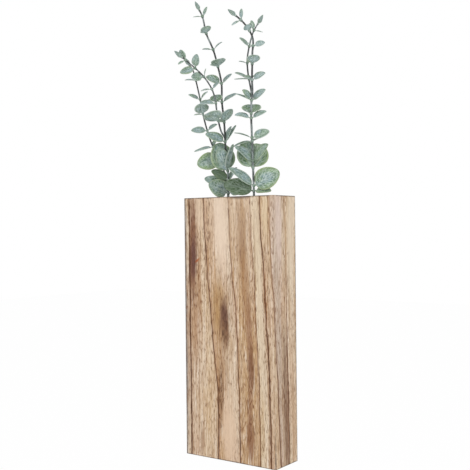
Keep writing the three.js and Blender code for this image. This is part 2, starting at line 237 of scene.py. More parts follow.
def torched_rings(add, across, height, rings, colour):
    """Starts each ring's early wood at its line. Gives back the colour and how burnt each place is, which
    is 0 where bare, under 0.5 in the brown shade beside a line and up to 1 in the line itself."""
    down = add("MapRange", (height, BOX_LOW[2], BOX_HIGH[2]))
    burnt = 0.0
    for points, left, width, right, top, foot, tone in rings:
        route = add("FloatCurve", (None, down))
        places = [
            ((z - BOX_LOW[2]) / (BOX_HIGH[2] - BOX_LOW[2]), (u - RING_FROM) / RING_SPAN) for z, u in points
        ]
        drawn(route, sorted(places), "AUTO")
        middle = add("Math", (route, RING_SPAN, RING_FROM), operation="MULTIPLY_ADD")
        off = add("Math", (across, middle), operation="SUBTRACT")
        early = add("MapRange", (off, -RING_START, RING_START))
        colour = add("Mix", {0: early, 6: colour, 7: tone}, data_type="RGBA")
        section = add("FloatCurve", (None, add("MapRange", (off, -SHADE_SPAN, SHADE_SPAN))))
        marks = [
            (-SHADE_SPAN, 0), (-left - width, 0), (-width, 0.45), (-width / 2, 1),
            (width / 2, 1), (width, 0.4), (right + width, 0), (SHADE_SPAN, 0),
        ]
        drawn(section, [((place / SHADE_SPAN + 1) / 2, dark) for place, dark in marks], "VECTOR")
        strength = add("MapRange", (down, 0, 1, foot, top))
        line = add("Math", (section, strength), operation="MULTIPLY")
        burnt = add("Math", (line, burnt), operation="MAXIMUM")
    return colour, burnt


def spotted(add, spot_place, spots, colour, through=1.0):
    """Lays soft spots over a colour, whole or only as far as a mark lets them through: stains, dark dashes,
    pale patches and one painted shadow.
    """
    for (middle, level), (half, tall), lean, tone, strength in spots:
        held = {0: spot_place, 1: (middle, 0, level), 2: (0, math.radians(lean), 0), 3: (half, 50, tall)}
        spot = add("TexGradient", (add("Mapping", held, vector_type="TEXTURE"),), gradient_type="SPHERICAL")
        share = add("MapRange", (spot, 0, 0.7, 0, strength), interpolation_type="SMOOTHSTEP")
        share = add("Math", (share, through), operation="MULTIPLY")
        colour = add("Mix", {0: share, 6: colour, 7: tone}, data_type="RGBA")
    return colour


def toned(add, marks, tones, colour):
    """Lays the marks of the grain over a colour."""
    for mark, start, full, strength, tone in tones:
        share = add("MapRange", (marks[mark], start, full, 0, strength), interpolation_type="SMOOTHSTEP")
        colour = add("Mix", {0: share, 6: colour, 7: tone}, data_type="RGBA")
    return colour


def torched_wood(name, unroll, offset, rings, stains_and_shadow, patches, seed):
    """The wood of one board. unroll and offset turn x and y into the distance across the grain, and seed
    moves the pattern of the marks."""
    material, add = new_material(name)
    texture = add("TexCoord")
    place = add("Mapping", {0: texture.outputs["Object"], 3: (1 / MM, 1 / MM, 1 / MM)})
    height = add("SeparateXYZ", (place,)).outputs["Z"]
    turned = add("VectorMath", (place, unroll), operation="DOT_PRODUCT")
    across = add("Math", (turned, offset), operation="ADD")
    through = add("VectorMath", (place, (0, 0.15, 0)), operation="DOT_PRODUCT")
    flat = add("CombineXYZ", (across, through, height))

    marks = {}
    for order, (mark, (size, detail, waves)) in enumerate(GRAIN_MARKS.items()):
        start = (seed + 5.1 * order, seed - 3.7 * order, 2.3 * order)
        scaled = add("Mapping", {0: flat, 1: start, 3: tuple(1 / part for part in size)})
        marks[mark] = add("TexNoise", {"Vector": scaled, "Scale": 1, "Detail": detail, "Distortion": waves})

    # The edges of stains and rings follow the fibre
    drift = add("Math", (marks["wander"], 3.2, -1.6), operation="MULTIPLY_ADD")
    fray = add("Math", (marks["fray"], 1.6, -0.8), operation="MULTIPLY_ADD")
    strayed = add("Math", (across, add("Math", (drift, fray), operation="ADD")), operation="ADD")
    frayed = add("Math", (fray, 2.5, strayed), operation="MULTIPLY_ADD")
    spot_place = add("CombineXYZ", (frayed, 0, height))
    colour, burnt = torched_rings(add, strayed, height, rings, BARE_WOOD)
    colour = toned(add, marks, BROAD_TONES, colour)
    # The stains, and the painted shadow of the leaves on the top edge
    colour = spotted(add, spot_place, stains_and_shadow, colour)
    shade = add("MapRange", (burnt, 0.02, 0.45, 0, 0.5))
    colour = add("Mix", {0: shade, 6: colour, 7: "986439"}, data_type="RGBA")
    colour = toned(add, marks, FINE_TONES, colour)
    dashes = add("MapRange", (marks["pores"], 0.49, 0.58))
    colour = spotted(add, spot_place, DASHES if stains_and_shadow else [], colour, dashes)
    colour = spotted(add, spot_place, patches, colour)
    line = add("Math", (burnt, marks["pores"], -0.25), operation="MULTIPLY_ADD")
    line = add("Math", (line, burnt), operation="ADD")
    core = add("MapRange", (line, 0.3, 0.95, 0, 0.9))
    colour = add("Mix", {0: core, 6: colour, 7: "502d18"}, data_type="RGBA")

    # End grain where a board is sawn across: scorched, with fine closed pores and arcs of rings
    normal = add("NewGeometry").outputs["Normal"]
    upright = add("Math", (add("SeparateXYZ", (normal,)).outputs["Z"],), operation="ABSOLUTE")
    speck = add("TexNoise", {"Vector": place, "Scale": 1.4, "Detail": 2.0})
    ends = add("Mix", {0: add("MapRange", (speck, 0.42, 0.62)), 6: "86664a", 7: "b39270"}, data_type="RGBA")
    bent = add("Mapping", {0: place, 1: (seed, 0, 0), 3: (1 / 26, 1 / 3.2, 1 / 50)})
    arcs = add("TexNoise", {"Vector": bent, "Scale": 1, "Detail": 1.5, "Distortion": 0.6})
    dark_arcs = add("MapRange", (arcs, 0.55, 0.66, 0, 0.6))
    ends = add("Mix", {0: dark_arcs, 6: ends, 7: "543a29"}, data_type="RGBA")
    colour = add("Mix", {0: add("MapRange", (upright, 0.6, 0.85)), 6: colour, 7: ends}, data_type="RGBA")

    # The torched arrises of the box, where two of the distances to its outer faces are short. The flame
    # hardly touched the near one, except at its foot.
    from_low = add("VectorMath", (place, BOX_LOW), operation="SUBTRACT")
    from_high = add("VectorMath", (BOX_HIGH, place), operation="SUBTRACT")
    gaps = add("SeparateXYZ", (add("VectorMath", (from_low, from_high), operation="MINIMUM"),)).outputs
    nearer = add("Math", (gaps[0], gaps[1]), operation="MINIMUM")
    further = add("Math", (gaps[0], gaps[1]), operation="MAXIMUM")
    second = add("Math", (further, gaps[2]), operation="MINIMUM")
    edge = add("Math", (nearer, second), operation="MAXIMUM")
    flame = add("TexNoise", {"Vector": place, "Scale": 0.16, "Detail": 3.0, "Roughness": 0.7})
    reach = add("MapRange", (flame, 0.35, 0.7, 0.9, 2.6))
    near = add("Math", (edge, reach), operation="DIVIDE")
    char = add("MapRange", (near, 1.0, 0.3, 0, 0.75), interpolation_type="SMOOTHSTEP")
    corner = add("Math", (across, BOX_HIGH[0], 6), operation="COMPARE")
    spared = add("Math", (corner, add("MapRange", (height, -205, -250, 0.8, 0))), operation="MULTIPLY")
    kept = add("Math", (1, spared), operation="SUBTRACT")
    char = add("Math", (char, kept), operation="MULTIPLY")
    colour = add("Mix", {0: char, 6: colour, 7: "4a3e38"}, data_type="RGBA")

    # The brush wears the soft wood back, so the rings stand proud and the pores are pits
    proud = add("Math", (burnt, 0.8, marks["silk"]), operation="MULTIPLY_ADD")
    pits = add("MapRange", (marks["pores"], 0.55, 0.68, 0, 0.6))
    relief = add("Math", (proud, pits), operation="SUBTRACT")
    bump = add("Bump", {"Height": relief, "Strength": 0.6, "Distance": 0.3 * MM})
    rough = add("MapRange", (marks["silk"], 0.2, 0.8, 0.65, 0.85))
    inputs = {"Base Color": colour, "Roughness": rough, "Normal": bump, "IOR": 1.45}
    add("OutputMaterial", (add("BsdfPrincipled", {**inputs, "Specular IOR Level": 0.3}),))
    return material


# Each board's unrolling and offset, its rings, its stains with the painted shadow, its pale patches and its
# seed
BOARDS = {
    "front_board": ((1, 1, 0), 45, RINGS, STAINS_AND_SHADOW, PALE_PATCHES, 0),
    "right_side_board": ((1, 1, 0), 45, RINGS, STAINS_AND_SHADOW, PALE_PATCHES, 0),
    "left_side_board": ((1, -1, 0), -45, HIDDEN_RINGS[:3] + RINGS, STAINS_AND_SHADOW, [], 0),
    "back_board": ((-1, -1, 0), 0, HIDDEN_RINGS, [], [], 40),
    "bottom_board": ((1, 1, 0), 20, HIDDEN_RINGS, [], [], 60),
}
for board, settings in BOARDS.items():
    dressed(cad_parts[board], torched_wood(f"torched_paulownia_{board}", *settings))


def zinc_plated_steel():
    """Steel with a bright zinc plating, which looks grey, faintly clouded and finely crystalline."""
    material, add = new_material("zinc_plated_steel")
    texture = add("TexCoord")
    cloud = add("TexNoise", {"Vector": texture.outputs["Object"], "Scale": 350, "Detail": 3.0})
    crystal = add("TexNoise", {"Vector": texture.outputs["Object"], "Scale": 2500, "Detail": 2.0})
    colour = add("Mix", {0: add("MapRange", (cloud, 0.35, 0.65)), 6: "b4b7b8", 7: "c9cbca"}, data_type="RGBA")
    glint = add("MapRange", (crystal, 0.55, 0.7, 0, 0.3))
    colour = add("Mix", {0: glint, 6: colour, 7: "e0e1df"}, data_type="RGBA")
    rough = add("MapRange", (cloud, 0.3, 0.7, 0.28, 0.45))
    bump = add("Bump", {"Height": crystal, "Strength": 0.2, "Distance": 0.05 * MM})
    inputs = {"Base Color": colour, "Roughness": rough, "Normal": bump, "Metallic": 1.0}
    add("OutputMaterial", (add("BsdfPrincipled", inputs),))
    return material


zinc = zinc_plated_steel()
for part in ("hanger_plate", "upper_hanger_screw", "lower_hanger_screw"):
    dressed(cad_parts[part], zinc)


# What each face of a leaf carries: whether it is on the upper side, and its looks
MARKS = ("upper", "green", "frost", "lime", "olive_and_shade")


def frosted_leaf():
    """Leaves moulded in soft polyethylene, printed with a pale net of veins and dusted with a whitish
    frost: matt and cloudy, bluish in the middle and greener outside, with a pale or yellowish rim. The
    net of a real one has fields of about 1 mm. They are drawn 2 to 4 mm wide, so that they show."""
    material, add = new_material("frosted_polyethylene_leaf")
    texture = add("TexCoord")
    down, across, _ = add("SeparateXYZ", (texture.outputs["UV"],)).outputs
    upper, green, frost, lime, olive_and_shade = (add("Attribute", attribute_name=key).outputs["Fac"] for key in MARKS)
    place = add("Mapping", {0: texture.outputs["Object"], 3: (1 / MM, 1 / MM, 1 / MM)})
    cloud = add("TexNoise", {"Vector": place, "Scale": 0.17, "Detail": 3.0, "Roughness": 0.6})
    patch = add("TexNoise", {"Vector": place, "Scale": 0.11, "Detail": 2.0})
    dust = add("TexNoise", {"Vector": place, "Scale": 0.8, "Detail": 2.0, "Roughness": 0.7})

    # Streaks fan out from the stalk, and lie differently on each leaf
    own = add("Mapping", {0: add("CombineXYZ", (down, across, frost)), 3: (2.5, 13, 40)})
    fan = add("TexNoise", {"Vector": own, "Scale": 1.0, "Detail": 2.0, "Distortion": 0.5})

    aside = add("Math", (add("Math", (across, 2, -1), operation="MULTIPLY_ADD"),), operation="ABSOLUTE")
    outer = add("Math", (aside, add("MapRange", (down, 0.55, 1.0))), operation="MAXIMUM")
    wavy = add("Math", (cloud, 0.5, outer), operation="MULTIPLY_ADD")
    margin = add("Math", (lime, add("MapRange", (wavy, 0.55, 1.05))), operation="MULTIPLY")
    greener = add("Math", (green, add("MapRange", (patch, 0.4, 0.6, -0.45, 0.45))), operation="ADD")
    colour = add("Mix", {0: greener, 6: "698a9c", 7: "648b50"}, data_type="RGBA")
    deep = add("MapRange", (cloud, 0.52, 0.38, 0, 0.75))
    colour = add("Mix", {0: deep, 6: colour, 7: "456349"}, data_type="RGBA")
    colour = add("Mix", {0: margin, 6: colour, 7: "8caa5e"}, data_type="RGBA")
    # Dark olive, partly the leaf's own dye and partly painted shade on leaves that lie in shade
    colour = add("Mix", {0: olive_and_shade, 6: colour, 7: "304a20"}, data_type="RGBA")

    # Under the frost the lower face is a little greyer than the upper one
    under = add("Math", (upper, -0.25, 0.25), operation="MULTIPLY_ADD")
    colour = add("Mix", {0: under, 6: colour, 7: "6b8073"}, data_type="RGBA")
    held = add("Math", (margin, -1.1, 1), operation="MULTIPLY_ADD")
    dusted = add("Math", (frost, add("MapRange", (cloud, 0.4, 0.6, 0.15, 1.1))), operation="MULTIPLY")
    dusted = add("Math", (dusted, add("MapRange", (fan, 0.38, 0.62, 0.3, 1.2))), operation="MULTIPLY")
    dusted = add("Math", (dusted, add("MapRange", (dust, 0.42, 0.58, 0.25, 1.1))), operation="MULTIPLY")
    dusted = add("Math", (dusted, held), operation="MULTIPLY")
    dusted = add("Math", (dusted, add("MapRange", (patch, 0.54, 0.66, 1, 0.35))), operation="MULTIPLY")
    powder = add("Mix", {0: green, 6: "bfd0de", 7: "c8d9c8"}, data_type="RGBA")
    colour = add("Mix", {0: dusted, 6: colour, 7: powder}, data_type="RGBA")
    seams = add("MapRange", (fan, 0.46, 0.32, 0, 0.6))
    colour = add("Mix", {0: seams, 6: colour, 7: "41604c"}, data_type="RGBA")

    # Side veins rise from the midrib to the rim, and the net fills the fields between them. On the darkest
    # leaves the veins are fainter, and their fields and rims are left bare.
    slanted = add("Math", (aside, -0.3, down), operation="MULTIPLY_ADD")
    slanted = add("Math", (dust, 0.06, slanted), operation="MULTIPLY_ADD")
    ribs = add("Math", (add("Math", (slanted, 70), operation="MULTIPLY"),), operation="SINE")
    meshed = add("Mapping", {0: add("CombineXYZ", (slanted, across, frost)), 3: (15, 7, 40)})
    net = add("TexVoronoi", {"Vector": meshed, "Scale": 1.0}, feature="DISTANCE_TO_EDGE")
    veins = add("MapRange", (net, 0.14, 0.03, 0, 0.65))
    veins = add("Math", (add("MapRange", (ribs, 0.4, 1, 0, 0.35)), veins), operation="MAXIMUM")
    rib = add("MapRange", (aside, 0.12, 0.03, 0, 0.55))
    rib = add("Math", (rib, add("MapRange", (down, 0.95, 0.6))), operation="MULTIPLY")
    veins = add("Math", (veins, rib), operation="MAXIMUM")
    bare = add("Math", (olive_and_shade, -0.95, 1), operation="MULTIPLY_ADD")
    faded = add("Math", (olive_and_shade, -0.62, 1), operation="MULTIPLY_ADD")
    printed = add("Math", (veins, faded), operation="MULTIPLY")
    colour = add("Mix", {0: printed, 6: colour, 7: "cfdcd2"}, data_type="RGBA")
    fields = add("MapRange", (ribs, -0.2, -1, 0, 0.25))
    fields = add("Math", (fields, add("MapRange", (net, 0.14, 0.4, 0, 0.65))), operation="MAXIMUM")
    fields = add("Math", (fields, bare), operation="MULTIPLY")
    colour = add("Mix", {0: fields, 6: colour, 7: "46644e"}, data_type="RGBA")

    # Dye gathers in a darker line inside the pale rim
    gathered = add("Math", (add("MapRange", (outer, 0.62, 0.84, 0, 0.45)), bare), operation="MULTIPLY")
    colour = add("Mix", {0: gathered, 6: colour, 7: "54705f"}, data_type="RGBA")
    rim = add("MapRange", (outer, 0.8, 0.98, 0, 0.7))
    rim = add("Math", (rim, bare), operation="MULTIPLY")
    edge = add("Mix", {0: lime, 6: "d8e2d6", 7: "adbd85"}, data_type="RGBA")
    colour = add("Mix", {0: rim, 6: colour, 7: edge}, data_type="RGBA")
    height = add("Math", (veins, 0.8, dust), operation="MULTIPLY_ADD")
    bump = add("Bump", {"Height": height, "Strength": 0.4, "Distance": 0.2 * MM})
    rough = add("MapRange", (dust, 0.3, 0.7, 0.6, 0.8))
    inputs = {"Base Color": colour, "Roughness": rough, "Normal": bump, "IOR": 1.5}
    add("OutputMaterial", (add("BsdfPrincipled", inputs),))
    return material


def frosted_stem():
    """The stems are the same moulding over a wire: dark slate, with a bluish grey frost caught in patches
    on a slightly rough skin."""
    material, add = new_material("frosted_polyethylene_stem")
    texture = add("TexCoord")
    place = add("Mapping", {0: texture.outputs["Object"], 3: (1 / MM, 1 / MM, 1 / MM)})
    drawn_out = add("Mapping", {0: place, 3: (1, 1, 0.3)})
    cloud = add("TexNoise", {"Vector": drawn_out, "Scale": 0.3, "Detail": 3.0, "Roughness": 0.6})
    dust = add("TexNoise", {"Vector": drawn_out, "Scale": 1.3, "Detail": 2.0})

    # It lies thicker low down, and over the middle of the right spray's stems
    x, _, z = add("SeparateXYZ", (place,)).outputs
    right = add("MapRange", (x, 15, 22))
    middle = add("Math", (z, 125, 38), operation="COMPARE")
    caught = add("Math", (right, middle), operation="MULTIPLY")
    thick = add("Math", (caught, 0.1, cloud), operation="MULTIPLY_ADD")
    thick = add("Math", (thick, add("MapRange", (z, 105, 85, 0, 0.09))), operation="ADD")
    frost = add("MapRange", (thick, 0.49, 0.67, 0, 0.8))
    colour = add("Mix", {0: frost, 6: "3d3f3e", 7: "9ba6a5"}, data_type="RGBA")
    dark = add("MapRange", (dust, 0.48, 0.34, 0, 0.7))
    colour = add("Mix", {0: dark, 6: colour, 7: "34332f"}, data_type="RGBA")
    bump = add("Bump", {"Height": dust, "Strength": 0.5, "Distance": 0.2 * MM})
    inputs = {"Base Color": colour, "Roughness": 0.7, "Normal": bump, "IOR": 1.5}
    add("OutputMaterial", (add("BsdfPrincipled", inputs),))
    return material


leaf_plastic = frosted_leaf()
stem_plastic = frosted_stem()


# The sprays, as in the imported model: points along each branch, counted from where the main stem passes the
# rim, and for each whorl its height and its leaves' turn, length, width, opening and roll, with their looks.
# The low leaf that hangs over the rim stands 1.5 degrees steeper, so that its rippled edge clears the wood.

LEFT_MOUTH = Vector((-14.5, -22.5, 45))
RIGHT_MOUTH = Vector((27, -30.5, 45))
FOOT = (0, 0, -291.7)
MAIN_STEM = 2.7
BRANCH_STEM = 2.2
COLLAR_FIT = 0.35
COLLAR_HEIGHT = 2.2
STALK_LENGTH = 1.5
STALK_WIDTH = 1.6
LEAF_CUP = 0.22  # how far the edges rise, as a share of half the width
LEAF_ARCH = 0.03  # how far the middle rises, as a share of the length
LEAF_TAPER = 0.22  # how much broader a leaf is towards its stalk
LEAF_THICKNESS = 0.5
LEAF_RIPPLE = 0.04  # how far the rim waves, as a share of half the width
LEAF_CURL = 0.04  # how strongly the outer half curls up, and how much that differs between leaves
LEAF_CURL_SPREAD = 0.1
SMALL_LENGTH = 16  # under these a leaf has fewer faces
SMALL_WIDTH = 9
BUD_SOCKET = 3  # how far a bud reaches down over its branch's tip

LEFT_BRANCHES = {
    "left_tall": (
        [
            FOOT, (0, 0, 0), (-0.5, 0.5, 25), (-2, 0, 45), (-2.5, -1.5, 61), (-5.5, 0.5, 89), (-9.5, 2, 112),
            (-11, 3.5, 134), (-14.5, 1.5, 154), (-19, -1.5, 174), (-25.5, -6, 193), (-29, -8.5, 213),
            (-32.5, -11, 222),
        ],
        [
            (213, [(36, 13, 4.5, 49, 60, "pale"), (216, 11, 4.5, 14, -8, "grey")]),
            (193, [(318, 12, 13, 30, 0, "grey"), (120, 11, 13, 40, 0, "grey")]),
            (174, [(36, 14, 8, 22, 5, "grey"), (216, 13, 8, 20, -5, "grey")]),
            (154, [(322, 15, 18, 22, 0, "grey"), (135, 13, 15, 32, 0, "pale")]),
            (134, [(30, 17, 10, 36, 35, "pale"), (222, 20, 15, 30, -50, "green")]),
            (112, [(30, 20, 12, 24, 35, "pale"), (216, 17, 9, 12, -5, "pale")]),
            (88, [(340, 20, 18, 35, 12, "pale"), (150, 14, 12, 30, -20, "green")]),
            (65, [(42, 24, 8, 54, 30, "white"), (16, 20, 10, 66, 50, "white"),
                  (212, 25, 15, 26, -50, "blue")]),
            (31, [(258, 30, 17, 70, 40, "blue"), (174, 37, 28, 72, -45, "slate"),
                  (352, 33, 17, 66, 20, "pale")]),
            (20, [(198, 24, 14, 34, -42, "olive"), (40, 19, 14, 56, 20, "grey")]),
            (14, [(196, 31, 14, 18, -58, "grey"), (70, 15, 12, 30, 0, "green")]),
            (5, [(232, 26, 22.5, 24.5, -72, "bright"), (24, 27, 18, 22, 60, "green")]),
        ],
    ),
    "left_front": (
        [
            (-3, -1, 69), (-4.6, -6.2, 76), (-4.5, -11.5, 87), (-4.5, -15, 100), (-4, -18.5, 113),
            (-6, -23, 125), (-11, -31.5, 138), (-18, -39, 147.5), (-28.5, -49.5, 159.5),
        ],
        [
            (155.5, [(60, 14, 8, 66, 30, "pale"), (216, 10, 5, 19, -35, "grey")]),
            (146.5, [(36, 16, 10, 36, 65, "pale"), (216, 18, 9, 34, -65, "blue")]),
            (137, [(220, 14.5, 11, 42, -62, "grey"), (36, 10, 6, 35, 5, "grey")]),
            (123.5, [(36, 11, 7, 18, 25, "grey"), (216, 13, 7, 15, -5, "grey")]),
            (108, [(242, 20, 12, 6, -22, "pale"), (110, 13, 15, 46, 0, "green")]),
            (88, [(270, 22, 22, 38, 22, "pale"), (160, 9, 8, 40, 0, "green")]),
        ],
    ),
    "left_back": (
        [
            (0, 0, -22), (-3, 3.5, -8), (-7, 7, 12), (-13, 6, 39), (-21, -1, 60), (-25, -6.5, 79),
            (-28, -10.5, 98), (-28.5, -14, 112), (-31.5, -19, 137), (-34.5, -21, 149.5), (-38, -24, 156),
        ],
        [
            (137, [(36, 10, 6, 10, 8, "grey"), (216, 13, 7, 14, -15, "grey")]),
            (115, [(36, 13, 8, 36, 15, "grey"), (216, 15, 8, 34, -30, "pale")]),
            (98, [(306, 16, 17, 55, 0, "white"), (206, 11, 6, 5, -10, "grey")]),
            (79, [(40, 14, 8, 18, 30, "pale"), (212, 19, 10, 18, -50, "pale")]),
            (60, [(211, 23, 10, 7, -18, "grey"), (80, 12, 9, 40, 0, "green")]),
            (46, [(216, 27, 21, 14, -75, "limed"), (60, 14, 12, 40, 0, "green")]),
        ],
    ),
}
RIGHT_BRANCHES = {
    "right_left": (
        [
            FOOT, (0, 0, 0), (-0.5, -0.5, 33), (-1.5, -0.5, 66), (-2, -1, 90), (-1.5, -1, 106),
            (1, -2.5, 117), (2, -4.5, 129), (2.5, -4.5, 148), (2.5, -4, 160), (3, -3, 172), (2, -3.5, 179),
            (-2, -7.5, 189), (-8, -12, 197.5), (-13.5, -15.5, 203),
        ],
        [
            (197, [(36, 13, 5, 44, 60, "pale"), (216, 12, 5, 13, -40, "pale")]),
            (185, [(290, 9, 9, 62, 0, "grey"), (60, 10, 8, 50, 20, "pale")]),
            (168, [(36, 14, 9, 22, 58, "pale"), (216, 8, 6, 22, -20, "pale")]),
            (148, [(320, 14, 15, 34, 0, "pale"), (120, 12, 14, 45, 0, "green")]),
            (130, [(36, 17, 11, 30, 42, "pale"), (180, 11, 8, 30, -20, "grey")]),
            (108, [(36, 20, 11, 46, 38, "pale"), (228, 16, 11, 46, -45, "green"),
                   (204, 20, 7, 14, -10, "pale")]),
            (93, [(120, 17, 22, 50, 0, "green"), (200, 10, 8, 30, 0, "grey")]),
            (88, [(36, 19, 12, 23, 32, "pale"), (216, 19, 12, 14, -32, "pale")]),
            (66, [(36, 21, 12, 20, 60, "pale"), (216, 21, 10, 17, -8, "dark")]),
            (62, [(216, 23, 8, -16, -20, "dark"), (80, 10, 8, 20, 0, "green")]),
            (40, [(14, 26, 18, 44, 54, "green"), (236, 26, 16, 40, -50, "grey")]),
            (32, [(96, 34, 27, 60, 30, "limed"), (168, 34, 27, 70, -40, "green")]),
            (12, [(30, 33, 26, 27, 72, "limed"), (226, 35, 19, 35, -38, "grey")]),
            (6, [(12, 21, 12, -3, 40, "lime"), (200, 36, 21, 15, -62, "mossy")]),
        ],
    ),
    "right_back": (
        [
            (-0.8, -1.2, 112), (-3.5, 1, 121), (-7, 3, 131), (-8.5, 2.5, 142), (-8.8, 2, 154),
            (-8, 3, 164), (-6, 4.5, 175), (-3, 6.5, 186.5), (2.5, 9.5, 197),
        ],
        [
            (188, [(36, 10, 5, 12, 5, "pale"), (216, 12, 6, 50, -60, "pale")]),
            (170, [(36, 8, 5, 20, 10, "grey"), (216, 15, 6.5, 30, -45, "pale")]),
            (151, [(60, 10, 8, 30, 0, "green"), (216, 10, 6, 12, -5, "grey")]),
            (133, [(216, 18, 12, 34, -28, "grey"), (206, 17, 6, 8, -8, "grey"), (60, 10, 8, 20, 0, "green")]),
        ],
    ),
}

# How a leaf was dyed and dusted, each from 0 to 1: green rather than bluish, how much frost, how yellow
# its rim is, and how dark an olive it is, which is partly its own dye and partly painted shade
LEAF_LOOKS = {
    # white: painted light, the pale look with more frost, for leaves whose faces are turned from the lamps
    "white": (0.35, 1.0, 0.0, 0.0),
    "pale": (0.35, 0.75, 0.0, 0.0),
    "blue": (0.0, 0.6, 0.5, 0.0),
    "slate": (0.05, 0.35, 0.8, 0.12),
    "grey": (0.35, 0.5, 0.0, 0.15),
    "green": (0.75, 0.4, 0.4, 0.15),
    "mossy": (0.9, 0.3, 0.8, 1.0),
    "olive": (1.0, 0.02, 1.0, 0.8),
    "limed": (0.5, 0.55, 0.9, 0.05),
    # bright: painted light, the limed look with more frost, for a leaf whose face lies in shade
    "bright": (0.3, 1.0, 0.6, 0.02),
    "lime": (1.0, 0.05, 1.0, 0.3),
    # dark: painted shade for thin leaves that lie in shade and are seen edge-on from below
    "dark": (0.5, 0.2, 0.0, 0.6),
    "sleeve": (0.3, 0.2, 0.0, 0.7),
    "bud": (0.0, 0.2, 0.0, 0.5),
}
LOOKS_SPREAD = 0.07


class Route:
    """A smooth line through points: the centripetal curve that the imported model's stems follow."""

    def __init__(self, points):
        self.points = points
        self.spans = len(points) - 1
        self.length = sum((b - a).length for a, b in zip(points, points[1:]))

    def at(self, share):
        """The point and the direction at a place counted in spans."""
        index = min(int(share), self.spans - 1)
        points = self.points
        start, end = points[index], points[index + 1]
        before = points[index - 1] if index > 0 else 2 * points[0] - points[1]
        after = points[index + 2] if index + 2 <= self.spans else 2 * points[-1] - points[-2]
        steps = [(b - a).length ** 0.5 for a, b in ((before, start), (start, end), (end, after))]
        first, middle, last = steps
        leave = (start - before) / first - (end - before) / (first + middle) + (end - start) / middle
        arrive = (end - start) / middle - (after - start) / (middle + last) + (after - end) / last
        leave, arrive = leave * middle, arrive * middle
        bend = 3 * (end - start) - 2 * leave - arrive
        twist = 2 * (start - end) + leave + arrive
        t = share - index
        point = start + leave * t + bend * t * t + twist * t**3
        return point, (leave + 2 * bend * t + 3 * twist * t * t).normalized()

    def share_at(self, height):
        """The place, counted in spans, where the rising line reaches a height."""
        low, high = 0.0, float(self.spans)
        for _ in range(30):
            middle = (low + high) / 2
            if self.at(middle)[0].z < height:
                low = middle
            else:
                high = middle
        return (low + high) / 2


def seat(point, up, turn):
    """A frame on a stem: Z along it and X towards a compass angle about it."""
    angle = math.radians(turn)
    side = Vector((math.cos(angle), math.sin(angle), 0))
    side = (side - up * side.dot(up)).normalized()
    turned = Matrix((side, up.cross(side), up)).transposed().to_4x4()
    return Matrix.Translation(point) @ turned


def piece_from(bm, name, body, slot, material, *nodes):
    """Makes a mesh in millimetres a piece in its place, which rides on a body and stands for nodes."""
    bmesh.ops.scale(bm, vec=(MM, MM, MM), verts=bm.verts)
    for face in bm.faces:
        face.smooth = True
    mesh = bpy.data.meshes.new(name)
    bm.to_mesh(mesh)
    bm.free()
    piece = bpy.data.objects.new(name, mesh)
    bpy.context.scene.collection.objects.link(piece)
    dressed(piece, material)
    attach(piece, body)
    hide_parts(*nodes)
    return piece


STEM_SIDES = 12
STEM_PITCH = 2.5  # from ring to ring
STEM_FIT = 0.95  # the stem's radius at its foot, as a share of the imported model's
STEM_TAPER = 0.22  # and how much of it is lost up to the tip
FORK_SWELL = 0.35  # how much thicker a side branch starts
STEM_BUMPS = 0.05


def add_stem(bm, route, radius_at):
    """A closed round stem along a route, with a ring of vertices every few millimetres."""
    circle = bmesh.ops.create_circle(bm, segments=STEM_SIDES, radius=1, cap_ends=True)["verts"]
    spokes = {vert: vert.co.copy() for vert in circle}
    edges = list({edge for vert in circle for edge in vert.link_edges})
    whole = set(circle)
    rings = round(route.length / STEM_PITCH)
    for ring in range(rings + 1):
        if ring:
            grown = bmesh.ops.extrude_edge_only(bm, edges=edges)["geom"]
            fresh = {part for part in grown if isinstance(part, bmesh.types.BMVert)}
            edges = [part for part in grown if isinstance(part, bmesh.types.BMEdge)]
            edges = [edge for edge in edges if fresh.issuperset(edge.verts)]
            nearby = {vert: [edge.other_vert(vert) for edge in vert.link_edges] for vert in fresh}
            spokes = {
                vert: next(spokes[other] for other in others if other in spokes)
                for vert, others in nearby.items()
            }
            whole |= fresh
        share = route.spans * ring / rings
        point, up = route.at(share)
        frame_here = seat(point, up, 0)
        radius = radius_at(share / route.spans, ring)
        for vert, spoke in spokes.items():
            vert.co = frame_here @ (spoke * radius)
    bmesh.ops.edgeloop_fill(bm, edges=edges)
    bmesh.ops.recalc_face_normals(bm, faces=list({face for vert in whole for face in vert.link_faces}))


def mark_layers(bm):
    """The leaf's own map, and for each face the marks that its looks set."""
    return bm.loops.layers.uv.new("leaf"), {key: bm.faces.layers.float.new(key) for key in MARKS}


def mark(faces, floats, looks, dice):
    """Sets the looks of faces, a little different on each leaf."""
    for key, value in zip(MARKS[1:], LEAF_LOOKS[looks]):
        varied = min(1.0, max(0.0, value + dice.gauss(0, LOOKS_SPREAD) if value else 0))
        for face in faces:
            face[floats[key]] = varied


